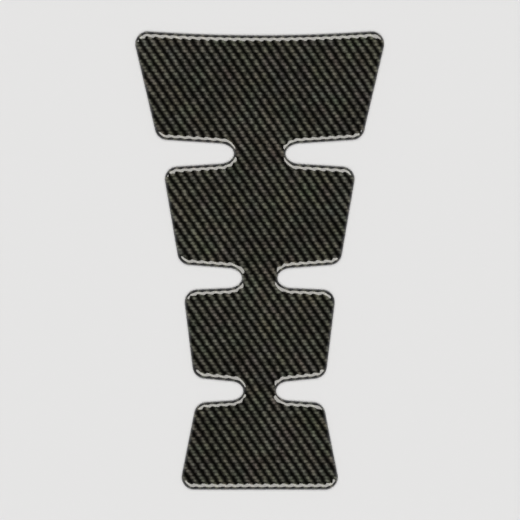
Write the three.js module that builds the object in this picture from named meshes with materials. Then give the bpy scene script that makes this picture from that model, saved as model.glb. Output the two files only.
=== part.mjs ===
// Motorcycle tank pad with a raised carbon-look twill, in millimetres.
// X runs across the pad and Y along it, with the wide shoulder at +Y. Z points up from the adhesive
// back, which is the plane Z = 0. The origin is the middle of the pad's length and width on that plane.
import * as THREE from "three";

// Section through the pad
const THICKNESS = 2.2; // adhesive back to the flat crown
const EDGE_HEIGHT = 0.6; // upright edge under the rounded rim
const RIM_WIDTH = 3.2; // from the edge to where the crown turns flat

// Outline
const CORNER_RADIUS = 6; // the outer corners of every plate
const TOP_SAG = 2.5; // how far the shoulder's top edge dips in its middle

// The four plates, from the wide end down. Their widths are those between sharp corners, which the
// corner radius then rounds, and their heights run from corner to corner at the side edge.
const SHOULDER_TOP_WIDTH = 123.0;
const SHOULDER_BOTTOM_WIDTH = 98.4;
const SHOULDER_HEIGHT = 52.4;

const CHEST_TOP_WIDTH = 93.2;
const CHEST_BOTTOM_WIDTH = 77.3;
const CHEST_HEIGHT = 46.4;

const WAIST_TOP_WIDTH = 73.5;
const WAIST_BOTTOM_WIDTH = 63.3;
const WAIST_HEIGHT = 41.9;

const TAIL_TOP_WIDTH = 61.0;
const TAIL_BOTTOM_WIDTH = 77.6;
const TAIL_HEIGHT = 41.6;

// The pair of notches under each plate but the tail. NECK is the width left between the two, FALL
// how far the plate's lower edge runs down to the neck, GAP the notch's height beside the neck, RISE
// how far the next plate's upper edge runs up to the neck, and END the length of the elliptical end.
const UPPER_NECK = 24.8;
const UPPER_FALL = 2.4;
const UPPER_GAP = 9.0;
const UPPER_RISE = 2.2;
const UPPER_END = 7.6;

const MIDDLE_NECK = 17.1;
const MIDDLE_FALL = 2.3;
const MIDDLE_GAP = 8.9;
const MIDDLE_RISE = 1.3;
const MIDDLE_END = 7.1;

const LOWER_NECK = 15.8;
const LOWER_FALL = 2.4;
const LOWER_GAP = 8.3;
const LOWER_RISE = 1.5;
const LOWER_END = 6.7;

// Twill relief: diagonal ribs with a V groove between each two
const REPEAT_ACROSS = 4.26; // from one groove to the next along X
const REPEAT_ALONG = 6.25; // from one groove to the next along Y
const GROOVE_WIDTH = 2.2; // square to the groove
const GROOVE_DEPTH = 0.2;
const FIRST_GROOVE = 1.7; // where one groove crosses the pad's centre line, above the origin

// Fineness of the curves, in straight steps
const SAG_STEPS = 5;
const CORNER_STEPS = 5;
const NOTCH_STEPS = 10;
const RIM_STEPS = 4;

// A fold of the relief that passes a corner of the surface this closely goes through the corner.
const SNAP = 0.004;

const PLATES = [
  { topWidth: SHOULDER_TOP_WIDTH, bottomWidth: SHOULDER_BOTTOM_WIDTH, height: SHOULDER_HEIGHT },
  { topWidth: CHEST_TOP_WIDTH, bottomWidth: CHEST_BOTTOM_WIDTH, height: CHEST_HEIGHT },
  { topWidth: WAIST_TOP_WIDTH, bottomWidth: WAIST_BOTTOM_WIDTH, height: WAIST_HEIGHT },
  { topWidth: TAIL_TOP_WIDTH, bottomWidth: TAIL_BOTTOM_WIDTH, height: TAIL_HEIGHT },
];

const NOTCHES = [
  { neck: UPPER_NECK, fall: UPPER_FALL, gap: UPPER_GAP, rise: UPPER_RISE, end: UPPER_END },
  { neck: MIDDLE_NECK, fall: MIDDLE_FALL, gap: MIDDLE_GAP, rise: MIDDLE_RISE, end: MIDDLE_END },
  { neck: LOWER_NECK, fall: LOWER_FALL, gap: LOWER_GAP, rise: LOWER_RISE, end: LOWER_END },
];

// Clockwise arc of the corner radius about `centre`, from one tangent point to the other.
function cornerArc(centre, from, to) {
  const start = from.clone().sub(centre).angle();
  const end = to.clone().sub(centre).angle();
  const arc = new THREE.EllipseCurve(centre.x, centre.y, CORNER_RADIUS, CORNER_RADIUS, start, end, true);
  return arc.getPoints(CORNER_STEPS);
}

// Rounds the corner at `at` between the straight edges from `before` and to `after`.
function roundedCorner(before, at, after) {
  const back = before.clone().sub(at).normalize();
  const onward = after.clone().sub(at).normalize();
  const halfAngle = back.angleTo(onward) / 2;
  const setback = CORNER_RADIUS / Math.tan(halfAngle);
  const middle = back.clone().add(onward).normalize();
  const centre = at.clone().addScaledVector(middle, CORNER_RADIUS / Math.sin(halfAngle));
  const from = at.clone().addScaledVector(back, setback);
  const to = at.clone().addScaledVector(onward, setback);
  return cornerArc(centre, from, to);
}

// The shoulder's dipped top edge from its middle to the right, and the corner that joins it to the
// side edge from `corner` down to `sideEnd`. The corner's arc touches the sag's arc from inside the pad.
function dippedTopEdge(corner, sideEnd) {
  const sagRadius = (corner.x ** 2 + TOP_SAG ** 2) / (2 * TOP_SAG);
  const sagCentre = new THREE.Vector2(0, corner.y - TOP_SAG + sagRadius);
  const down = sideEnd.clone().sub(corner).normalize();
  const inward = new THREE.Vector2(down.y, -down.x);
  const reach = corner.clone().addScaledVector(inward, CORNER_RADIUS).sub(sagCentre);
  const along = reach.dot(down);
  const root = along ** 2 - reach.lengthSq() + (sagRadius + CORNER_RADIUS) ** 2;
  const slide = Math.sqrt(root) - along;
  const sideTangent = corner.clone().addScaledVector(down, slide);
  const centre = sideTangent.clone().addScaledVector(inward, CORNER_RADIUS);
  const topTangent = centre.clone().sub(sagCentre).setLength(sagRadius).add(sagCentre);
  const sagEnd = topTangent.clone().sub(sagCentre).angle();
  const sag = new THREE.EllipseCurve(0, sagCentre.y, sagRadius, sagRadius, -Math.PI / 2, sagEnd, false);
  return [...sag.getPoints(SAG_STEPS).slice(0, -1), ...cornerArc(centre, topTangent, sideTangent)];
}

// Elliptical end of a notch, between the upper plate's edge that ends at `upper` beside the neck and
// the lower plate's edge that starts at `lower`.
function notchEnd(notch, upperCorner, upper, lower, lowerCorner) {
  const x = upper.x + notch.end;
  const heightAt = (a, b) => a.y + ((b.y - a.y) * (x - a.x)) / (b.x - a.x);
  const top = heightAt(upper, upperCorner);
  const bottom = heightAt(lower, lowerCorner);
  const middle = (top + bottom) / 2;
  const half = (top - bottom) / 2;
  const end = new THREE.EllipseCurve(x, middle, notch.end, half, Math.PI / 2, Math.PI * 1.5, false);
  return end.getPoints(NOTCH_STEPS);
}

// Right half of the outline, from the middle of the top edge to the middle of the bottom edge.
function rightHalf() {
  let y = 0;
  const corners = PLATES.map((plate, i) => {
    const top = new THREE.Vector2(plate.topWidth / 2, y);
    const bottom = new THREE.Vector2(plate.bottomWidth / 2, y - plate.height);
    const notch = NOTCHES[i];
    if (notch) y = bottom.y - notch.fall - notch.gap - notch.rise;
    return { top, bottom };
  });
  const points = dippedTopEdge(corners[0].top, corners[0].bottom);
  NOTCHES.forEach((notch, i) => {
    const above = corners[i];
    const below = corners[i + 1];
    const upper = new THREE.Vector2(notch.neck / 2, above.bottom.y - notch.fall);
    const lower = new THREE.Vector2(notch.neck / 2, below.top.y + notch.rise);
    points.push(...roundedCorner(above.top, above.bottom, upper));
    points.push(...notchEnd(notch, above.bottom, upper, lower, below.top));
    points.push(...roundedCorner(lower, below.top, below.bottom));
  });
  const tail = corners.at(-1);
  const foot = new THREE.Vector2(0, tail.bottom.y);
  points.push(...roundedCorner(tail.top, tail.bottom, foot), foot);
  return points;
}

// The whole outline, anticlockwise and centred on the origin.
function padOutline() {
  const right = rightHalf();
  const left = right.slice(1, -1).map((p) => new THREE.Vector2(-p.x, p.y));
  const outline = [...left, ...right.reverse()];
  const middle = new THREE.Box2().setFromPoints(outline).getCenter(new THREE.Vector2());
  return outline.map((p) => p.sub(middle));
}

// Moves every edge of an anticlockwise outline inwards by `distance`.
function inset(outline, distance) {
  return outline.map((point, i) => {
    const before = outline.at(i - 1);
    const after = outline[(i + 1) % outline.length];
    const edgeIn = point.clone().sub(before).normalize();
    const edgeOut = after.clone().sub(point).normalize();
    const bisector = new THREE.Vector2(-edgeIn.y - edgeOut.y, edgeIn.x + edgeOut.x);
    const lengthen = (2 * distance) / bisector.lengthSq();
    return point.clone().addScaledVector(bisector, lengthen);
  });
}

// Rings of the rounded rim, a quarter ellipse from the upright edge in to the crown.
function rimRings(outline) {
  const rings = [];
  for (let step = 0; step <= RIM_STEPS; step++) {
    const angle = (Math.PI / 2) * (step / RIM_STEPS);
    const z = EDGE_HEIGHT + (THICKNESS - EDGE_HEIGHT) * Math.sin(angle);
    const ring = inset(outline, RIM_WIDTH * (1 - Math.cos(angle)));
    rings.push(ring.map((p) => new THREE.Vector3(p.x, p.y, z)));
  }
  return rings;
}

// The twill's run: `ACROSS` points square to the grooves and `ALONG` down their length.
const ACROSS = new THREE.Vector2(1 / REPEAT_ACROSS, 1 / REPEAT_ALONG);
const GROOVE_SPACING = 1 / ACROSS.length();
ACROSS.normalize();
const ALONG = new THREE.Vector2(-ACROSS.y, ACROSS.x);
const GROOVE_START = FIRST_GROOVE * ACROSS.y;

const acrossTwill = (p) => p.x * ACROSS.x + p.y * ACROSS.y;
const alongTwill = (p) => p.x * ALONG.x + p.y * ALONG.y;

// How far the relief lies below the smooth surface: a V groove between two flat ribs.
function reliefDepth(point) {
  const phase = (acrossTwill(point) - GROOVE_START) / GROOVE_SPACING;
  const fromGroove = Math.abs(phase - Math.round(phase)) * GROOVE_SPACING;
  return GROOVE_DEPTH * Math.max(0, 1 - fromGroove / (GROOVE_WIDTH / 2));
}

// Folds of the relief that cross a polygon, from low to high: both edges and the floor of each groove.
function foldsAcross(polygon) {
  const levels = polygon.map(acrossTwill);
  const low = Math.min(...levels);
  const high = Math.max(...levels);
  const folds = [];
  const first = Math.floor((low - GROOVE_START) / GROOVE_SPACING);
  const last = Math.ceil((high - GROOVE_START) / GROOVE_SPACING);
  for (let n = first; n <= last; n++) {
    const floor = GROOVE_START + n * GROOVE_SPACING;
    folds.push(floor - GROOVE_WIDTH / 2, floor, floor + GROOVE_WIDTH / 2);
  }
  return folds.filter((fold) => fold > low && fold < high);
}

// Where the edge from `a` to `b` meets a fold, or nothing if it stays on one side.
function meeting(a, b, fold) {
  const beyondA = acrossTwill(a) - fold;
  const beyondB = acrossTwill(b) - fold;
  if ((beyondA >= 0) === (beyondB >= 0)) return null;
  const place = a.clone().lerp(b, beyondA / (beyondA - beyondB));
  const order = alongTwill(place);
  if (Math.abs(beyondA) < SNAP) return { point: a, order };
  if (Math.abs(beyondB) < SNAP) return { point: b, order };
  return { point: place, order };
}

// Splits a polygon along one fold. Its outline is walked from one meeting with the fold to the next,
// and each walk goes on from the neighbouring meeting across the polygon's inside.
function split(polygon, fold) {
  const points = [];
  const meetings = [];
  polygon.forEach((point, i) => {
    points.push(point);
    const met = meeting(point, polygon[(i + 1) % polygon.length], fold);
    if (!met) return;
    meetings.push({ order: met.order, index: points.length });
    points.push(met.point);
  });
  meetings.sort((m, n) => m.order - n.order);
  const partner = new Map();
  for (let i = 0; i < meetings.length; i += 2) {
    partner.set(meetings[i].index, meetings[i + 1].index);
    partner.set(meetings[i + 1].index, meetings[i].index);
  }
  const sides = { below: [], above: [] };
  const walked = new Set();
  for (const start of partner.keys()) {
    if (walked.has(start)) continue;
    const piece = [];
    let side = "below";
    let at = start;
    do {
      walked.add(at);
      piece.push(points[at]);
      at = (at + 1) % points.length;
      while (!partner.has(at)) {
        if (acrossTwill(points[at]) >= fold) side = "above";
        piece.push(points[at]);
        at = (at + 1) % points.length;
      }
      piece.push(points[at]);
      at = partner.get(at);
    } while (at !== start);
    sides[side].push(piece.filter((p, i) => p !== piece.at(i - 1)));
  }
  return sides;
}

// Cuts a polygon into pieces that no fold crosses.
function scored(polygon) {
  const pieces = [];
  let rest = [polygon];
  for (const fold of foldsAcross(polygon)) {
    const above = [];
    for (const part of rest) {
      const sides = split(part, fold);
      const whole = !sides.below.length && !sides.above.length;
      if (whole) (part.some((p) => acrossTwill(p) >= fold) ? above : pieces).push(part);
      pieces.push(...sides.below);
      above.push(...sides.above);
    }
    rest = above;
  }
  return [...pieces, ...rest].filter((piece) => piece.length > 2);
}

// Points of one outline edge, with those where folds cross it.
function scoredEdge(a, b) {
  const met = foldsAcross([a, b]).map((fold) => meeting(a, b, fold)?.point);
  if (acrossTwill(a) > acrossTwill(b)) met.reverse();
  return [a, ...met, b].filter((p, i, all) => p && p !== all[i - 1]);
}

const engraved = (point) => new THREE.Vector3(point.x, point.y, point.z - reliefDepth(point));
const flat = (point) => new THREE.Vector2(point.x, point.y);

// Triangles of a polygon, given once in space and once on the plane in which it is simple.
function triangles(polygon, onPlane) {
  return THREE.ShapeUtils.triangulateShape(onPlane, []).flatMap((face) => face.map((i) => polygon[i]));
}

// The pad: a flat back, an upright edge, a rounded rim and a flat crown, with the twill over both.
function padGeometry() {
  const outline = padOutline();
  const rings = rimRings(outline);
  const corners = outline.map((_, i) => [i, (i + 1) % outline.length]);

  const upper = [rings.at(-1)];
  for (let r = 0; r + 1 < rings.length; r++) {
    const [outer, inner] = [rings[r], rings[r + 1]];
    upper.push(...corners.map(([i, j]) => [outer[i], outer[j], inner[j], inner[i]]));
  }
  const faces = upper.flatMap(scored).flatMap((piece) => triangles(piece.map(engraved), piece.map(flat)));

  for (const [i, j] of corners) {
    const top = scoredEdge(rings[0][i], rings[0][j]).map(engraved);
    const foot = [outline[i], outline[j]].map((p) => new THREE.Vector3(p.x, p.y, 0));
    const side = [foot[0], foot[1], ...top.reverse()];
    faces.push(...triangles(side, side.map((p) => new THREE.Vector2(flat(p).distanceTo(outline[i]), p.z))));
  }

  const back = outline.map((p) => new THREE.Vector3(p.x, p.y, 0));
  faces.push(...triangles(back, outline).reverse());

  const geometry = new THREE.BufferGeometry().setFromPoints(faces);
  geometry.computeVertexNormals();
  return geometry;
}

const tankPad = new THREE.Mesh(
  padGeometry(),
  new THREE.MeshStandardMaterial({ color: 0x2d2d27, roughness: 0.35, metalness: 0 }),
);
tankPad.name = "tank_pad";

const group = new THREE.Group();
group.add(tankPad);

export default group;
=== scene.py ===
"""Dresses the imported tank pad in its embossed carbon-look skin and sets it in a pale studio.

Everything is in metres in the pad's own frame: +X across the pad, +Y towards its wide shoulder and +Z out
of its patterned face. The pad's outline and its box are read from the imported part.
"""

import logging
import math
from collections.abc import Iterable, Iterator
from dataclasses import dataclass, field
from enum import Enum

import bpy
import numpy as np
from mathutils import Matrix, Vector
from mathutils.geometry import interpolate_bezier
from mathutils.kdtree import KDTree


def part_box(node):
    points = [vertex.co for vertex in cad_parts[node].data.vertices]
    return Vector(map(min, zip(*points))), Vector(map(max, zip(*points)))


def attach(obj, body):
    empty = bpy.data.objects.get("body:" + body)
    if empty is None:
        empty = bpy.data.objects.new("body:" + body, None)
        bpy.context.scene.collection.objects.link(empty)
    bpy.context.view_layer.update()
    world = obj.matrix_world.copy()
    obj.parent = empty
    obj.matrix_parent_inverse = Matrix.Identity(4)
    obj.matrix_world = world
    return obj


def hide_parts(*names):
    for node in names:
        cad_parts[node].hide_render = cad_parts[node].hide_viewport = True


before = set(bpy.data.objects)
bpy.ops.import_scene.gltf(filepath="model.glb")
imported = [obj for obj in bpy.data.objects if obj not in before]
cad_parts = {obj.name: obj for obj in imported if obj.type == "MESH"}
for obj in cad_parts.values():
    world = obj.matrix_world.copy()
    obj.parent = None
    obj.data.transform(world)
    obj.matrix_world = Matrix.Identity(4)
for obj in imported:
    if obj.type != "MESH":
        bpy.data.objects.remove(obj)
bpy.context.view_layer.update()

MM = 0.001
PAD_NODE = "tank_pad"

log = logging.getLogger("tank_pad")

Colour = tuple[float, float, float]
Socket = bpy.types.NodeSocket
Value = float | tuple[float, ...] | Socket


def eased(share: np.ndarray) -> np.ndarray:
    """Falls from one at 0 to zero at 1, level at both ends, and repeats every 2."""
    return 0.5 + 0.5 * np.cos(math.pi * share)


@dataclass(frozen=True)
class Twill:
    """The two-by-two twill that the relief and the colour of the skin share.

    One repeat is four tows each way. The weft tows run across the pad and show light where they pass over
    two warp tows, so the light floats step down to the right and make the diagonal bands. Two and two of
    the weft tows lie close together.

    The last seven values shape the floats. They are in tow widths, apart from the two falls, which are
    powers. A float's light reaches float_reach from its middle, leans float_lean along the bands from one
    side of its tow to the other, strays up to half of float_stray to either side, and is shifted by half
    of pair_jog, one way in the first tow of a pair and the other way in the second. The float itself
    fades out within float_end of its end, and pair_fall narrows the gap beside a pair.
    """

    across: float = 4.26 * MM
    along: float = 6.25 * MM
    tows: int = 4
    first_column: float = -0.268 * MM
    first_row: float = -0.269 * MM
    first_groove: float = 1.7 * MM
    groove_width: float = 3.0 * MM
    groove_depth: float = 0.12 * MM
    row_dip: float = 0.012 * MM
    float_reach: float = 0.95
    float_fall: float = 1.9
    float_lean: float = 0.66
    float_stray: float = 0.42
    float_end: float = 0.12
    pair_jog: float = 0.24
    pair_fall: float = 1.34

    @property
    def row_height(self) -> float:
        """Width of one weft tow, measured along the pad."""
        return self.along / self.tows

    @property
    def groove_spacing(self) -> float:
        """Distance from one groove to the next, square to them."""
        return self.across * self.along / math.hypot(self.across, self.along)

    def relief(self, x: np.ndarray, y: np.ndarray) -> np.ndarray:
        """Works out the depth of the embossing below the smooth skin.

        Args:
            x: places across the pad.
            y: places along the pad.

        Returns:
            The depth at each place, none of it negative.
        """
        phase = x / self.across + (y - self.first_groove) / self.along
        from_groove = np.abs(phase - np.round(phase)) * self.groove_spacing
        flank = np.clip(from_groove / (self.groove_width / 2), 0, 1)
        row = (y - self.first_row) / self.row_height
        return self.groove_depth * eased(flank) + self.row_dip * eased(2 * row) * flank


class Side(Enum):
    """The two faces of the pad, with the index of the finish that each takes."""

    SKIN = 0
    BACK = 1


class End(Enum):
    """The two ends of the pad, with the way that each lies along the pad."""

    SHOULDER = 1
    TAIL = -1


class Part(Enum):
    """The kinds of mesh part, with the names that edit mode and the mesh give each."""

    VERTEX = ("VERT", "vertices")
    EDGE = ("EDGE", "edges")
    FACE = ("FACE", "polygons")


def edit(piece: bpy.types.Object, kind: Part = Part.VERTEX, chosen: Iterable[int] = ()) -> None:
    """Opens an object in edit mode with only the chosen parts selected.

    Args:
        piece: the object to open.
        kind: what is chosen, which is also the select mode.
        chosen: the index of each chosen part.
    """
    mode, collection = kind.value
    select_only(piece)
    bpy.ops.object.mode_set(mode="EDIT")
    bpy.ops.mesh.select_mode(type=mode)
    bpy.ops.mesh.select_all(action="DESELECT")
    leave_edit()
    parts = getattr(piece.data, collection)
    flags = np.zeros(len(parts), bool)
    flags[np.fromiter(chosen, int)] = True
    parts.foreach_set("select", flags)
    bpy.ops.object.mode_set(mode="EDIT")


def leave_edit() -> None:
    """Goes back to object mode."""
    bpy.ops.object.mode_set(mode="OBJECT")


def select_only(piece: bpy.types.Object) -> None:
    """Selects one object alone and makes it the active one.

    Args:
        piece: the object to select.
    """
    bpy.ops.object.select_all(action="DESELECT")
    piece.select_set(True)
    bpy.context.view_layer.objects.active = piece


def points_of(piece: bpy.types.Object) -> np.ndarray:
    """Reads the vertices of a mesh object.

    Args:
        piece: the mesh object.

    Returns:
        An array with a row of three coordinates for each vertex.
    """
    points = np.empty(len(piece.data.vertices) * 3)
    piece.data.vertices.foreach_get("co", points)
    return points.reshape(-1, 3)


def move_points(piece: bpy.types.Object, points: np.ndarray) -> None:
    """Puts the vertices of a mesh object at new places.

    Args:
        piece: the mesh object.
        points: an array with a row of three coordinates for each vertex.
    """
    piece.data.vertices.foreach_set("co", np.ascontiguousarray(points, float).ravel())
    piece.data.update()


def nearest(points: np.ndarray, places: np.ndarray) -> tuple[np.ndarray, np.ndarray]:
    """Finds the place that lies nearest to each point.

    Args:
        points: rows of three coordinates.
        places: rows of three coordinates to choose from.

    Returns:
        The index of the place found for each point, and how far away it is.
    """
    tree = KDTree(len(places))
    for index, place in enumerate(places):
        tree.insert(place, index)
    tree.balance()
    found = np.array([tree.find(point)[1:] for point in points]).reshape(-1, 2)
    return found[:, 0].astype(int), found[:, 1]


def inside(points: np.ndarray, loop: np.ndarray) -> np.ndarray:
    """Tells which points lie inside a closed loop, by counting the sides that a ray to +X crosses.

    Args:
        points: rows that start with x and y.
        loop: rows that start with x and y, in order round the loop.

    Returns:
        A flag for each point.
    """
    flags = np.zeros(len(points), bool)
    x, y = points[:, 0], points[:, 1]
    for a, b in zip(loop, np.roll(loop, -1, axis=0)):
        if a[1] == b[1]:
            continue
        spans = (a[1] > y) != (b[1] > y)
        crossing = a[0] + (y - a[1]) * (b[0] - a[0]) / (b[1] - a[1])
        flags ^= spans & (x < crossing)
    return flags


def in_threes(loop: list[Vector]) -> Iterator[tuple[Vector, Vector, Vector]]:
    """Gives each point of a closed loop between the one before it and the one after it.

    Args:
        loop: the points in order.

    Returns:
        The points, three at a time.
    """
    return zip(loop[-1:] + loop[:-1], loop, loop[1:] + loop[:1])


def follow(sides: list[tuple[int, int]]) -> list[int]:
    """Puts the corners of one closed line in order.

    Args:
        sides: the two corners of each side, by number.

    Returns:
        The numbers in order, from the lowest on.
    """
    beside: dict[int, list[int]] = {}
    for a, b in sides:
        beside.setdefault(a, []).append(b)
        beside.setdefault(b, []).append(a)
    order = [min(beside)]
    before = None
    while len(order) < len(beside):
        here = order[-1]
        order.append(next(i for i in beside[here] if i != before))
        before = here
    return order


@dataclass
class PadOutline:
    """The pad's outline, read from its back and rounded where the solid has short straight steps.

    Its points lie about one step apart. Corners closer than merge are one, and a point that turns by less
    than straight isn't a corner. A side is a straight one if it is long_side times as long as the next,
    and faces that look down by more than level are the back's.
    """

    node: bpy.types.Object
    step: float = 0.45 * MM
    merge: float = 0.001 * MM
    straight: float = math.radians(0.1)
    long_side: float = 2.0
    level: float = 0.99
    points: np.ndarray = field(init=False)
    inward: np.ndarray = field(init=False)

    def __post_init__(self) -> None:
        """Reads the corners and works out the even points and their inward directions."""
        self.points = self.rounded(self.corners())
        onward = np.roll(self.points, -1, axis=0) - np.roll(self.points, 1, axis=0)
        onward /= np.linalg.norm(onward, axis=1)[:, None]
        self.inward = np.stack([-onward[:, 1], onward[:, 0]], axis=1)

    def corners(self) -> list[Vector]:
        """Finds the corners of the flat back, anticlockwise seen from above.

        Returns:
            The corners that turn, without those that lie on a straight side.
        """
        loop = self.back_loop()
        area = sum(here.cross(after) for _, here, after in in_threes(loop))
        if area < 0:
            loop.reverse()
        return [here for before, here, after in in_threes(loop)
                if (here - before).angle(after - here) > self.straight]

    def back_loop(self) -> list[Vector]:
        """Follows the edge of the flat back, on a copy of the solid whose loose triangles are merged.

        Returns:
            The points of the edge in order.
        """
        copy = self.node.copy()
        copy.data = self.node.data.copy()
        bpy.context.scene.collection.objects.link(copy)
        edit(copy)
        bpy.ops.mesh.select_all(action="SELECT")
        bpy.ops.mesh.remove_doubles(threshold=self.merge)
        leave_edit()
        edit(copy, Part.FACE, [face.index for face in copy.data.polygons if face.normal.z < -self.level])
        bpy.ops.mesh.region_to_loop()
        leave_edit()
        order = follow([tuple(side.vertices) for side in copy.data.edges if side.select])
        loop = [Vector(copy.data.vertices[i].co.xy) for i in order]
        bpy.data.objects.remove(copy)
        return loop

    def heading(self, before: Vector, after: Vector) -> Vector:
        """Works out which way the smooth line runs through a corner.

        A corner between two sides of like length is a point of a curve. One beside a much longer side is
        where that straight side ends, so the line leaves it along the side.

        Args:
            before: the side that leads to the corner.
            after: the side that leads away from it.

        Returns:
            A direction of length one.
        """
        if before.length > self.long_side * after.length:
            return before.normalized()
        if after.length > self.long_side * before.length:
            return after.normalized()
        return (before * after.length ** 2 + after * before.length ** 2).normalized()

    def rounded(self, corners: list[Vector]) -> np.ndarray:
        """Draws a smooth line through the corners and divides it evenly.

        Args:
            corners: the corners in order.

        Returns:
            Rows of x and y, about one step apart, none of them outside the box of the corners.
        """
        headings = [self.heading(here - before, after - here) for before, here, after in in_threes(corners)]
        line = []
        for i, start in enumerate(corners):
            j = (i + 1) % len(corners)
            end = corners[j]
            reach = (end - start).length
            count = max(1, round(reach / self.step))
            curve = interpolate_bezier(
                start.to_3d(),
                (start + headings[i] * reach / 3).to_3d(),
                (end - headings[j] * reach / 3).to_3d(),
                end.to_3d(),
                count + 1,
            )
            line.extend(p[:2] for p in curve[:-1])
        extent = np.array(corners)
        return np.clip(line, extent.min(axis=0), extent.max(axis=0))

    def inset(self, distance: float) -> np.ndarray:
        """Moves the outline into the pad.

        Args:
            distance: how far, square to the outline.

        Returns:
            Rows of x and y.
        """
        return self.points + self.inward * distance


@dataclass
class PadSkin:
    """The whole pad as one closed mesh: upright edge, rounded rim, embossed crown and flat back.

    The rim's rings stand at rim_angles, in degrees, round its quarter ellipse. The crown's grid has
    cells_across by cells_along cells in one repeat of the twill and keeps clear_of_rim away from the rim.
    Edges that turn by more than crisp_angle, in degrees, stay crisp.
    """

    outline: PadOutline
    twill: Twill
    thickness: float
    edge_height: float = 0.6 * MM
    rim_width: float = 3.2 * MM
    rim_angles: tuple[float, ...] = (0, 8, 18, 30, 42, 54, 66, 78, 90)
    cells_across: int = 8
    cells_along: int = 12
    clear_of_rim: float = 0.2 * MM
    crisp_angle: float = 50
    piece: bpy.types.Object = field(init=False)

    def build(self) -> bpy.types.Object:
        """Models the pad.

        Returns:
            The finished object, at the origin.
        """
        self.piece = self.rim()
        self.join(self.crown())
        self.close_back()
        self.emboss()
        self.smooth()
        return self.piece

    def ring(self, depth: float, height: float) -> np.ndarray:
        """Moves the outline into the pad and lifts it.

        Args:
            depth: how far in.
            height: how far up from the back.

        Returns:
            Rows of x, y and z.
        """
        line = self.outline.inset(depth)
        return np.column_stack([line, np.full(len(line), height)])

    def rim(self) -> bpy.types.Object:
        """Models the upright edge and the rounded rim by extruding the outline ring after ring.

        Returns:
            The rim, open at its top and at the back.
        """
        below = self.ring(0, 0)
        count = len(below)
        bpy.ops.mesh.primitive_circle_add(vertices=count, radius=self.thickness)
        rim = bpy.context.object
        rim.name = "pad_skin"
        rim.data.name = "pad_skin"
        move_points(rim, below)
        for angle in self.rim_angles:
            turn = math.radians(angle)
            depth = self.rim_width * (1 - math.cos(turn))
            height = self.edge_height + (self.thickness - self.edge_height) * math.sin(turn)
            total = len(rim.data.vertices)
            edit(rim, Part.VERTEX, range(total - count, total))
            bpy.ops.mesh.select_mode(type="EDGE")
            bpy.ops.mesh.extrude_edges_move()
            leave_edit()
            points = points_of(rim)
            place, _ = nearest(points[-count:], below)
            below = self.ring(depth, height)
            points[-count:] = below[place]
            move_points(rim, points)
        return rim

    def crown(self) -> bpy.types.Object:
        """Models the flat crown.

        Returns:
            A grid, cut back to the cells that lie clear inside the rim.
        """
        edge = self.ring(self.rim_width, self.thickness)
        grid = self.grid(edge)
        edit(grid, Part.VERTEX, np.flatnonzero(~self.clear_inside(points_of(grid), edge)))
        bpy.ops.mesh.delete(type="VERT")
        leave_edit()
        return grid

    def grid(self, edge: np.ndarray) -> bpy.types.Object:
        """Models a flat grid that covers the crown, its columns running along the twill's grooves.

        Args:
            edge: rows of x, y and z round the crown.

        Returns:
            The grid.
        """
        low, high = edge.min(axis=0), edge.max(axis=0)
        column = self.twill.across / self.cells_across
        row = self.twill.along / self.cells_along
        lean = self.twill.across / self.twill.along
        rows_up = math.ceil((high[1] - self.twill.first_row) / row)
        rows_down = math.ceil((self.twill.first_row - low[1]) / row)
        rows = rows_up + rows_down
        reach = max(high[0], -low[0]) + lean * max(high[1], -low[1])
        columns = 2 * math.ceil(reach / column)
        bpy.ops.mesh.primitive_grid_add(x_subdivisions=columns, y_subdivisions=rows, size=1)
        grid = bpy.context.object
        points = points_of(grid)
        y = self.twill.first_row + (points[:, 1] + 0.5) * rows * row - rows_down * row
        x = points[:, 0] * columns * column - lean * (y - self.twill.first_groove)
        move_points(grid, np.column_stack([x, y, np.full(len(points), self.thickness)]))
        return grid

    def clear_inside(self, points: np.ndarray, edge: np.ndarray) -> np.ndarray:
        """Tells which points lie inside the crown's edge and clear of it.

        Args:
            points: rows of x, y and z.
            edge: rows of x, y and z round the crown.

        Returns:
            A flag for each point.
        """
        low, high = edge.min(axis=0), edge.max(axis=0)
        x, y = points[:, 0], points[:, 1]
        flags = (np.abs(x) < high[0]) & (y < high[1]) & (y > low[1])
        flags[flags] = inside(points[flags], edge)
        _, gap = nearest(points[flags], edge)
        flags[flags] = gap > self.clear_of_rim
        return flags

    def join(self, crown: bpy.types.Object) -> None:
        """Joins the crown to the rim and fills the narrow gap between the two.

        Args:
            crown: the crown's grid.
        """
        select_only(self.piece)
        crown.select_set(True)
        bpy.ops.object.join()
        self.fill_open_edges(above=self.thickness / 2, below=math.inf)

    def close_back(self) -> None:
        """Fills the flat back and points every face outwards."""
        self.fill_open_edges(above=-math.inf, below=self.edge_height / 2)
        edit(self.piece)
        bpy.ops.mesh.select_all(action="SELECT")
        bpy.ops.mesh.normals_make_consistent(inside=False)
        leave_edit()

    def fill_open_edges(self, above: float, below: float) -> None:
        """Fills between the open edges that lie in a band of heights.

        Args:
            above: the band's lower height.
            below: the band's upper height.
        """
        edit(self.piece, Part.EDGE)
        bpy.ops.mesh.select_non_manifold(extend=False, use_wire=True, use_boundary=True,
                                         use_multi_face=False, use_non_contiguous=False, use_verts=False)
        leave_edit()
        vertices = self.piece.data.vertices
        open_edges = [side.index for side in self.piece.data.edges
                      if side.select and above < vertices[side.vertices[0]].co.z < below]
        edit(self.piece, Part.EDGE, open_edges)
        bpy.ops.mesh.fill(use_beauty=True)
        bpy.ops.mesh.select_all(action="SELECT")
        bpy.ops.mesh.delete_loose()
        leave_edit()

    def emboss(self) -> None:
        """Lowers every point above the upright edge's middle by the twill's relief."""
        points = points_of(self.piece)
        above = points[:, 2] > self.edge_height / 2
        points[above, 2] -= self.twill.relief(points[above, 0], points[above, 1])
        move_points(self.piece, points)

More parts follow.
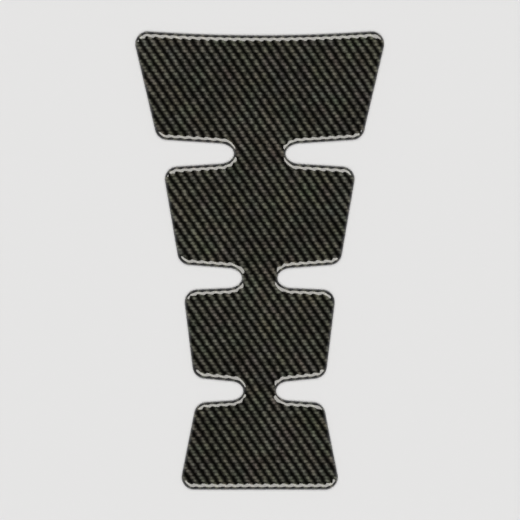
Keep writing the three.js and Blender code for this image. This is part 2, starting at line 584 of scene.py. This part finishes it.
    def smooth(self) -> None:
        """Shades the pad smooth, with a crisp line round its back."""
        select_only(self.piece)
        bpy.ops.object.shade_smooth_by_angle(angle=math.radians(self.crisp_angle))

    def dress(self, skin: bpy.types.Material, back: bpy.types.Material) -> None:
        """Gives the pad its finishes and ties it to the frame.

        Args:
            skin: the finish of the patterned face and the edge.
            back: the finish of the adhesive back.
        """
        self.piece.data.materials.append(skin)
        self.piece.data.materials.append(back)
        lowest_side = self.edge_height / 10
        for face in self.piece.data.polygons:
            side = Side.BACK if face.center.z < lowest_side else Side.SKIN
            face.material_index = side.value
        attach(self.piece, "root")
        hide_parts(PAD_NODE)


@dataclass
class NodeTree:
    """Adds nodes to one shader tree and links them as they are named."""

    tree: bpy.types.NodeTree

    def add(self, kind: str, **settings: object) -> bpy.types.Node:
        """Adds a node.

        Args:
            kind: the node's type name.
            **settings: properties to set on it.

        Returns:
            The new node.
        """
        node = self.tree.nodes.new(kind)
        for name, value in settings.items():
            setattr(node, name, value)
        return node

    def put(self, socket: Socket, value: Value) -> None:
        """Links a socket to another, or sets its value.

        Args:
            socket: the input.
            value: an output socket, or a plain value.
        """
        if isinstance(value, Socket):
            self.tree.links.new(value, socket)
        else:
            socket.default_value = value

    def math(self, operation: str, *values: Value) -> Socket:
        """Works out a number.

        Args:
            operation: the Math node's operation.
            *values: its inputs.

        Returns:
            The result.
        """
        node = self.add("ShaderNodeMath", operation=operation)
        for socket, value in zip(node.inputs, values):
            self.put(socket, value)
        return node.outputs[0]

    def product(self, first: Value, *others: Value) -> Value:
        """Multiplies numbers with each other.

        Args:
            first: the first number.
            *others: the rest of them.

        Returns:
            The product.
        """
        for other in others:
            first = self.math("MULTIPLY", first, other)
        return first

    def around_one(self, value: Socket, amount: float) -> Socket:
        """Turns a value around one half into a factor around one.

        Args:
            value: the value.
            amount: how far the factor goes from its least to its most.

        Returns:
            The factor.
        """
        return self.math("MULTIPLY_ADD", value, amount, 1 - amount / 2)

    def smooth_step(self, value: Value, start: float, end: float, first: float = 0.0,
                    last: float = 1.0) -> Socket:
        """Goes smoothly from one number to another while a value goes from start to end.

        Args:
            value: the value.
            start: where the change starts.
            end: where it ends.
            first: the number up to the start.
            last: the number from the end on.

        Returns:
            The number.
        """
        node = self.add("ShaderNodeMapRange", interpolation_type="SMOOTHSTEP")
        for title, number in (("Value", value), ("From Min", start), ("From Max", end),
                              ("To Min", first), ("To Max", last)):
            self.put(node.inputs[title], number)
        return node.outputs[0]

    def mix(self, factor: Value, a: Value, b: Value) -> Socket:
        """Mixes two numbers. The Mix node's sockets 2 and 3 are its numbers.

        Args:
            factor: 0 for the first and 1 for the second.
            a: the first number.
            b: the second number.

        Returns:
            The mixed number.
        """
        node = self.add("ShaderNodeMix", data_type="FLOAT")
        self.put(node.inputs[0], factor)
        self.put(node.inputs[2], a)
        self.put(node.inputs[3], b)
        return node.outputs[0]

    def mix_colour(self, factor: Value, a: Value, b: Value, blend: str = "MIX") -> Socket:
        """Mixes two colours. The Mix node's sockets 6 and 7 are its colours.

        Args:
            factor: 0 for the first and 1 for the second.
            a: the first colour.
            b: the second colour.
            blend: the Mix node's blend type.

        Returns:
            The mixed colour.
        """
        node = self.add("ShaderNodeMix", data_type="RGBA", blend_type=blend)
        self.put(node.inputs[0], factor)
        self.put(node.inputs[6], a)
        self.put(node.inputs[7], b)
        return node.outputs[2]

    def vector(self, x: Value, y: Value, z: Value = 0.0) -> Socket:
        """Combines three numbers into a vector.

        Args:
            x: the first number.
            y: the second number.
            z: the third number.

        Returns:
            The vector.
        """
        node = self.add("ShaderNodeCombineXYZ")
        for socket, value in zip(node.inputs, (x, y, z)):
            self.put(socket, value)
        return node.outputs[0]

    def split(self, vector: Socket) -> bpy.types.Node:
        """Splits a vector into its X, Y and Z outputs."""
        node = self.add("ShaderNodeSeparateXYZ")
        self.put(node.inputs[0], vector)
        return node

    def noise(self, vector: Socket, scale: float, detail: float = 2.0,
              roughness: float = 0.5) -> bpy.types.Node:
        """Adds a noise texture.

        Args:
            vector: where it is read.
            scale: how many of its largest lumps a metre holds.
            detail: how many finer layers it has.
            roughness: how strong the finer layers are.

        Returns:
            The node, with a Fac and a Color output.
        """
        node = self.add("ShaderNodeTexNoise", noise_dimensions="3D")
        self.put(node.inputs["Vector"], vector)
        node.inputs["Scale"].default_value = scale
        node.inputs["Detail"].default_value = detail
        node.inputs["Roughness"].default_value = roughness
        return node

    def group(self, tree: bpy.types.NodeTree, **inputs: Value) -> bpy.types.Node:
        """Places a node group.

        Args:
            tree: the group's tree.
            **inputs: what goes into each of its inputs.

        Returns:
            The group's node.
        """
        node = self.add("ShaderNodeGroup", node_tree=tree)
        for title, value in inputs.items():
            self.put(node.inputs[title], value)
        return node

    def bump(self, height: Socket, distance: float, strength: float) -> Socket:
        """Turns a height into a normal.

        Args:
            height: the height, of which 1 is the whole distance.
            distance: how high that is.
            strength: how much of it shows.

        Returns:
            The normal.
        """
        node = self.add("ShaderNodeBump")
        node.inputs["Strength"].default_value = strength
        node.inputs["Distance"].default_value = distance
        self.put(node.inputs["Height"], height)
        return node.outputs[0]


def new_group(name: str, numbers: dict[str, float],
              outputs: tuple[str, ...]) -> tuple[NodeTree, bpy.types.Node, bpy.types.Node]:
    """Starts a shader node group that reads a place and gives numbers.

    Args:
        name: the group's name.
        numbers: the numbers that it takes beside the place, each with its value at first.
        outputs: the numbers that it gives.

    Returns:
        The group's nodes, its input node and its output node.
    """
    tree = bpy.data.node_groups.new(name, "ShaderNodeTree")
    tree.interface.new_socket(name="Vector", in_out="INPUT", socket_type="NodeSocketVector")
    for title, value in numbers.items():
        socket = tree.interface.new_socket(name=title, in_out="INPUT", socket_type="NodeSocketFloat")
        socket.default_value = value
    for title in outputs:
        tree.interface.new_socket(name=title, in_out="OUTPUT", socket_type="NodeSocketFloat")
    nodes = NodeTree(tree)
    return nodes, nodes.add("NodeGroupInput"), nodes.add("NodeGroupOutput")


def new_material(name: str) -> tuple[bpy.types.Material, NodeTree, bpy.types.Node, Socket]:
    """Starts a material.

    Args:
        name: the material's name.

    Returns:
        The material, its nodes, its Principled shader and the object coordinates.
    """
    material = bpy.data.materials.new(name)
    material.use_nodes = True
    nodes = NodeTree(material.node_tree)
    shader = material.node_tree.nodes["Principled BSDF"]
    return material, nodes, shader, nodes.add("ShaderNodeTexCoord").outputs["Object"]


@dataclass
class TwillWeave:
    """The node group that says where in the twill each point lies.

    Its outputs are numbers from 0 to 1. Float is the light of a weft float, Tow Shade the painted shade
    across a weft tow, 1 at its middle and 0 at its sides, Gap the nearness of the gap beside a pair of
    them,
    Bulge the roundness of the tow on top, which also shapes the painted sheen on the warp floats, On Top
    whether that is the weft, Streak the fibres and Tow a number of each float's own. It takes Fibres, the
    number of fibre streaks across a tow. The weft's streaks are read weft_streaks_away from the warp's, so
    the two differ.
    """

    twill: Twill
    fibres: float = 12.0
    streak_detail: float = 2.0
    streak_roughness: float = 0.6
    weft_streaks_away: float = 7.0
    nodes: NodeTree = field(init=False)

    def build(self) -> bpy.types.NodeTree:
        """Builds the group.

        Returns:
            The group's tree.
        """
        outputs = ("Float", "Tow Shade", "Gap", "Bulge", "On Top", "Streak", "Tow")
        nodes, given, result = new_group("twill_weave", {"Fibres": self.fibres}, outputs)
        self.nodes = nodes
        twill = self.twill
        place = nodes.split(given.outputs["Vector"])
        from_column = nodes.math("SUBTRACT", place.outputs["X"], twill.first_column)
        from_row = nodes.math("SUBTRACT", twill.first_row, place.outputs["Y"])
        column = nodes.math("MULTIPLY", from_column, twill.tows / twill.across)
        row = nodes.math("MULTIPLY", from_row, twill.tows / twill.along)
        weft_tow = nodes.math("FLOOR", row)
        weft = self.weft_is_on_top(nodes.math("FLOOR", column), weft_tow)

        # The middle of a weft float lies one tow further right in every row down.
        run = nodes.math("SUBTRACT", column, weft_tow)
        own = self.own_noise(run, weft_tow)
        light = self.light(run, row, weft_tow, own)

        from_row_ridge = self.from_ridge(row)
        from_ridge = nodes.mix(weft, self.from_ridge(column), from_row_ridge)
        round_side = nodes.math("SUBTRACT", 1.0, nodes.math("POWER", from_ridge, 2.0))
        above = nodes.mix(weft, nodes.math("SUBTRACT", 1.0, light), light)
        pair_side = self.from_ridge(nodes.math("MULTIPLY", row, 0.5))
        values = (
            light,
            # Painted shade across each weft tow: 1 at its middle, falling to 0 at its sides.
            nodes.math("SUBTRACT", 1.0, from_row_ridge),
            nodes.math("POWER", pair_side, twill.pair_fall),
            nodes.math("MULTIPLY", round_side, above),
            nodes.smooth_step(self.from_middle(run), 1 + twill.float_end, 1 - twill.float_end),
            self.streak(column, row, weft, given.outputs["Fibres"]),
            own.outputs["Color"],
        )
        for title, value in zip(outputs, values):
            nodes.put(result.inputs[title], value)
        return nodes.tree

    def weft_is_on_top(self, warp_tow: Socket, weft_tow: Socket) -> Socket:
        """Tells where a weft tow passes over, which is in two of every four crossings.

        Args:
            warp_tow: the warp tow's number.
            weft_tow: the weft tow's number.

        Returns:
            1 where the weft is on top and 0 elsewhere.
        """
        steps = self.nodes.math("SUBTRACT", weft_tow, warp_tow)
        step = self.nodes.math("FLOORED_MODULO", steps, self.twill.tows)
        return self.nodes.math("LESS_THAN", step, self.twill.tows / 2 - 0.5)

    def from_ridge(self, count: Socket) -> Socket:
        """Measures how far a point lies from the middle of its tow.

        Args:
            count: the point's place, counted in tows.

        Returns:
            0 at the tow's middle and 1 at its sides.
        """
        over = self.nodes.math("FRACT", count)
        return self.nodes.math("ABSOLUTE", self.nodes.math("MULTIPLY_ADD", over, 2.0, -1.0))

    def from_middle(self, run: Socket) -> Socket:
        """Measures how far a point lies from the middle of the nearest weft float, along its tow.

        Args:
            run: the point's place along the tow, in tow widths.

        Returns:
            The distance, in tow widths.
        """
        half = self.twill.tows / 2
        return self.nodes.math("ABSOLUTE", self.nodes.math("WRAP", run, half, -half))

    def own_noise(self, run: Socket, weft_tow: Socket) -> bpy.types.Node:
        """Gives each weft float a number and a colour of its own.

        Args:
            run: the point's place along the tow, in tow widths.
            weft_tow: the weft tow's number.

        Returns:
            The node, with a Value and a Color output.
        """
        number = self.nodes.math("ROUND", self.nodes.math("DIVIDE", run, self.twill.tows))
        noise = self.nodes.add("ShaderNodeTexWhiteNoise", noise_dimensions="3D")
        self.nodes.put(noise.inputs["Vector"], self.nodes.vector(weft_tow, number))
        return noise

    def light(self, run: Socket, row: Socket, weft_tow: Socket, own: bpy.types.Node) -> Socket:
        """Lights the weft floats, each from its middle outwards and a little out of place.

        Args:
            run: the point's place along the tow, in tow widths.
            row: the point's place across the tows, in tow widths.
            weft_tow: the weft tow's number.
            own: the float's own noise.

        Returns:
            1 at the middle of a float's light, falling to 0 beyond its reach.
        """
        nodes = self.nodes
        twill = self.twill
        jog = self.spread(nodes.math("FLOORED_MODULO", weft_tow, 2.0), twill.pair_jog)
        lean = self.spread(nodes.math("FRACT", row), -twill.float_lean)
        stray = self.spread(own.outputs["Value"], twill.float_stray)
        shift = nodes.math("ADD", nodes.math("ADD", jog, lean), stray)
        from_light = self.from_middle(nodes.math("ADD", run, shift))
        fall = nodes.math("POWER", nodes.math("DIVIDE", from_light, twill.float_reach), twill.float_fall)
        return nodes.math("EXPONENT", nodes.math("MULTIPLY", fall, -1.0))

    def spread(self, value: Socket, width: float) -> Socket:
        """Spreads a value from 0 to 1 evenly about nothing.

        Args:
            value: the value.
            width: how far apart its ends come to lie.

        Returns:
            The spread value.
        """
        return self.nodes.math("MULTIPLY", self.nodes.math("SUBTRACT", value, 0.5), width)

    def streak(self, column: Socket, row: Socket, weft: Socket, fibres: Socket) -> Socket:
        """Draws the fibres, as noise that is stretched along the tow on top.

        Args:
            column: the point's place across the pad, in tow widths.
            row: the point's place down the pad, in tow widths.
            weft: 1 where the weft is on top.
            fibres: the number of streaks across a tow.

        Returns:
            The noise, around one half.
        """
        nodes = self.nodes
        over = nodes.math("MULTIPLY", nodes.mix(weft, column, row), fibres)
        along = nodes.mix(weft, row, column)
        away = nodes.math("MULTIPLY", weft, self.weft_streaks_away)
        noise = nodes.noise(nodes.vector(over, along, away), scale=1.0, detail=self.streak_detail,
                            roughness=self.streak_roughness)
        return noise.outputs[0]


@dataclass(frozen=True)
class FineGrain:
    """The node group for the fine uneven grain that every moulded surface of the pad has.

    It takes Coarse, the share of the coarse lumps, and gives Grain, a number around one half.
    """

    fine_scale: float = 2600.0
    fine_detail: float = 3.0
    fine_roughness: float = 0.6
    coarse_scale: float = 140.0
    coarse_share: float = 0.4

    def build(self) -> bpy.types.NodeTree:
        """Builds the group.

        Returns:
            The group's tree.
        """
        nodes, given, result = new_group("fine_grain", {"Coarse": self.coarse_share}, ("Grain",))
        place = given.outputs["Vector"]
        fine = nodes.noise(place, self.fine_scale, self.fine_detail, self.fine_roughness)
        coarse = nodes.noise(place, self.coarse_scale)
        grain = nodes.mix(given.outputs["Coarse"], fine.outputs[0], coarse.outputs[0])
        nodes.put(result.inputs["Grain"], grain)
        return nodes.tree


@dataclass(frozen=True)
class SkinFinish:
    """The carbon-look skin: grey weft floats over near-black warp floats, under a clear glossy layer.

    Each spread says how far a factor goes from its least to its most. A scale counts lumps in a metre.
    """

    light: Colour = (0.134, 0.133, 0.109)
    dark: Colour = (0.0004, 0.0003, 0.0001)
    under_warp: float = 0.65
    # How strong the painted sheen on the warp floats is.
    painted_warp_sheen: float = 0.004
    # How much painted shade darkens the sides of each weft tow.
    side_shade: float = 0.60
    pair_gap: float = 0.32
    float_spread: float = 0.7
    streak_spread: float = 1.7
    mottle_scale: float = 700.0
    mottle_detail: float = 1.0
    mottle_spread: float = 2.0
    cloud_scale: float = 25.0
    cloud_detail: float = 4.0
    cloud_spread: float = 1.1
    tint_scale: float = 110.0
    tint_detail: float = 1.0
    tint_strength: float = 0.18
    weft_roughness: float = 0.42
    warp_roughness: float = 0.34
    roughness_spread: float = 0.12
    bulge_height: float = 0.05 * MM
    bump_strength: float = 0.6
    streak_height: float = 0.18
    coat_roughness: float = 0.08
    coat_ior: float = 2.0

    def build(self, weave: bpy.types.NodeTree, grain: bpy.types.NodeTree) -> bpy.types.Material:
        """Builds the material.

        Args:
            weave: the twill's group.
            grain: the grain's group.

        Returns:
            The material.
        """
        material, nodes, shader, place = new_material("twill_skin")
        twill = nodes.group(weave, Vector=place)
        speckle = nodes.group(grain, Vector=place)
        nodes.put(shader.inputs["Base Color"], self.colour(nodes, place, twill))

        woven = nodes.mix(twill.outputs["On Top"], self.warp_roughness, self.weft_roughness)
        uneven = nodes.math("MULTIPLY_ADD", speckle.outputs["Grain"], self.roughness_spread,
                            -self.roughness_spread / 2)
        nodes.put(shader.inputs["Roughness"], nodes.math("ADD", woven, uneven))

        height = nodes.math("MULTIPLY_ADD", twill.outputs["Streak"], self.streak_height,
                            twill.outputs["Bulge"])
        nodes.put(shader.inputs["Normal"], nodes.bump(height, self.bulge_height, self.bump_strength))

        shader.inputs["Specular IOR Level"].default_value = 0.0
        shader.inputs["Coat Weight"].default_value = 1.0
        shader.inputs["Coat Roughness"].default_value = self.coat_roughness
        shader.inputs["Coat IOR"].default_value = self.coat_ior
        return material

    def colour(self, nodes: NodeTree, place: Socket, twill: bpy.types.Node) -> Socket:
        """Colours the floats, each a little different from the next.

        Args:
            nodes: the material's nodes.
            place: the object coordinates.
            twill: the twill group's node.

        Returns:
            The colour.
        """
        on_top = twill.outputs["On Top"]
        # Painted shade: each weft tow is painted darker towards its sides, down to 1 - side_shade of its
        # light at the edges.
        painted_tow_shade = nodes.math("MULTIPLY_ADD", twill.outputs["Tow Shade"], self.side_shade, 1 - self.side_shade)
        gap = nodes.math("MULTIPLY_ADD", twill.outputs["Gap"], -self.pair_gap, 1.0)
        weft = nodes.product(twill.outputs["Float"], nodes.mix(on_top, self.under_warp, 1.0), painted_tow_shade, gap)
        # Painted sheen: the warp floats get a faint light painted into their colour, following their bulge.
        warp = nodes.product(twill.outputs["Bulge"], nodes.mix(on_top, self.painted_warp_sheen, 0.0))

        cloud = nodes.noise(place, self.cloud_scale, self.cloud_detail)
        mottle = nodes.noise(place, self.mottle_scale, self.mottle_detail)
        uneven = nodes.product(
            nodes.around_one(twill.outputs["Streak"], self.streak_spread),
            nodes.around_one(mottle.outputs[0], self.mottle_spread),
            nodes.around_one(twill.outputs["Tow"], self.float_spread),
            nodes.around_one(cloud.outputs[0], self.cloud_spread),
        )
        amount = nodes.product(nodes.math("ADD", weft, warp), uneven)
        tint = nodes.noise(place, self.tint_scale, self.tint_detail)
        light = nodes.mix_colour(self.tint_strength, (*self.light, 1), tint.outputs["Color"], "SOFT_LIGHT")
        return nodes.mix_colour(amount, (*self.dark, 1), light)


@dataclass(frozen=True)
class BackFinish:
    """The matt charcoal adhesive back, mottled between two tones."""

    dark: Colour = (0.005, 0.005, 0.006)
    pale: Colour = (0.092, 0.092, 0.096)
    roughness: float = 0.75
    roughness_spread: float = 0.2
    grain_height: float = 0.08 * MM
    bump_strength: float = 0.8

    def build(self, grain: bpy.types.NodeTree) -> bpy.types.Material:
        """Builds the material.

        Args:
            grain: the grain's group.

        Returns:
            The material.
        """
        material, nodes, shader, place = new_material("adhesive_back")
        speckle = nodes.group(grain, Vector=place).outputs["Grain"]
        colour = nodes.mix_colour(speckle, (*self.dark, 1), (*self.pale, 1))
        roughness = nodes.math("MULTIPLY_ADD", speckle, self.roughness_spread,
                               self.roughness - self.roughness_spread / 2)
        nodes.put(shader.inputs["Base Color"], colour)
        nodes.put(shader.inputs["Roughness"], roughness)
        nodes.put(shader.inputs["Normal"], nodes.bump(speckle, self.grain_height, self.bump_strength))
        return material


@dataclass
class Studio:
    """A pale floor, a soft lamp high beyond each end of the pad, and a camera straight above it.

    The lamps hang where the rounded rim mirrors them, and the flat crown mirrors the dim top of the room,
    so the rim shines and the weave stays dark. The room is as light as horizon level with the floor, and
    it dims to zenith where a line of sight rises by dim_from of its length.
    """

    photo_size: int = 520
    photo_scale: float = 0.48035 * MM
    view_centre: tuple[float, float] = (0.14 * MM, 0.23 * MM)
    camera_height: float = 2.5
    camera_nearest: float = 0.01
    sensor: float = 36.0
    lamp_distance: float = 9.0
    lamp_angle: float = 29.0
    lamp_width: float = 16.5
    lamp_height: float = 4.7
    lamp_power: float = 697.0
    lamp_colour: Colour = (1.0, 0.975, 0.92)
    floor_size: float = 9.0
    floor_colour: Colour = (0.66, 0.67, 0.70)
    floor_roughness: float = 0.9
    world_colour: Colour = (0.93, 0.96, 1.0)
    horizon: float = 0.50
    zenith: float = 0.004
    dim_from: float = 0.85

    def build(self) -> None:
        """Sets up the whole studio."""
        self.floor()
        for end in End:
            self.lamp(end)
        self.world()
        self.camera()
        bpy.context.scene.view_settings.view_transform = "Standard"

    def floor(self) -> None:
        """Lays the floor under the pad."""
        bpy.ops.mesh.primitive_plane_add(size=self.floor_size, location=(0, 0, 0))
        floor = bpy.context.object
        floor.name = "floor"
        material = bpy.data.materials.new("pale_floor")
        material.use_nodes = True
        shader = material.node_tree.nodes["Principled BSDF"]
        shader.inputs["Base Color"].default_value = (*self.floor_colour, 1)
        shader.inputs["Roughness"].default_value = self.floor_roughness
        shader.inputs["Specular IOR Level"].default_value = 0.0
        floor.data.materials.append(material)

    def lamp(self, end: End) -> None:
        """Hangs one soft lamp beyond an end of the pad, facing it.

        Args:
            end: the end of the pad.
        """
        angle = math.radians(self.lamp_angle)
        data = bpy.data.lights.new(f"lamp_{end.name.lower()}", "AREA")
        data.shape = "ELLIPSE"
        data.size = self.lamp_width
        data.size_y = self.lamp_height
        data.energy = self.lamp_power
        data.color = self.lamp_colour
        lamp = bpy.data.objects.new(data.name, data)
        bpy.context.scene.collection.objects.link(lamp)
        out = self.lamp_distance * math.sin(angle)
        lamp.location = (0, end.value * out, self.lamp_distance * math.cos(angle))
        lamp.rotation_euler = (-end.value * angle, 0, 0)

    def world(self) -> None:
        """Lights the room softly from its walls, with a dim ceiling."""
        world = bpy.data.worlds.new("room")
        bpy.context.scene.world = world
        world.use_nodes = True
        nodes = NodeTree(world.node_tree)
        background = world.node_tree.nodes["Background"]
        direction = nodes.split(nodes.add("ShaderNodeTexCoord").outputs["Generated"])
        level = nodes.smooth_step(direction.outputs["Z"], 0.0, self.dim_from, self.horizon, self.zenith)
        background.inputs["Color"].default_value = (*self.world_colour, 1)
        nodes.put(background.inputs["Strength"], level)

    def camera(self) -> None:
        """Sets the camera straight above the pad, framed as the photograph is."""
        data = bpy.data.cameras.new("camera")
        data.sensor_width = self.sensor
        data.lens = self.sensor * self.camera_height / (self.photo_size * self.photo_scale)
        data.clip_start = self.camera_nearest
        camera = bpy.data.objects.new("camera", data)
        bpy.context.scene.collection.objects.link(camera)
        camera.location = (*self.view_centre, self.camera_height)
        bpy.context.scene.camera = camera


def main() -> None:
    """Builds the pad and the studio, and reports each piece."""
    logging.basicConfig(level=logging.INFO, format="%(name)s: %(message)s")
    low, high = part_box(PAD_NODE)
    twill = Twill()
    pad = PadSkin(PadOutline(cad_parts[PAD_NODE]), twill, thickness=high.z - low.z)
    piece = pad.build()
    grain = FineGrain().build()
    pad.dress(SkinFinish().build(TwillWeave(twill).build(), grain), BackFinish().build(grain))
    log.info("%s: %d faces", piece.name, len(piece.data.polygons))
    Studio().build()


if __name__ == "__main__":
    main()
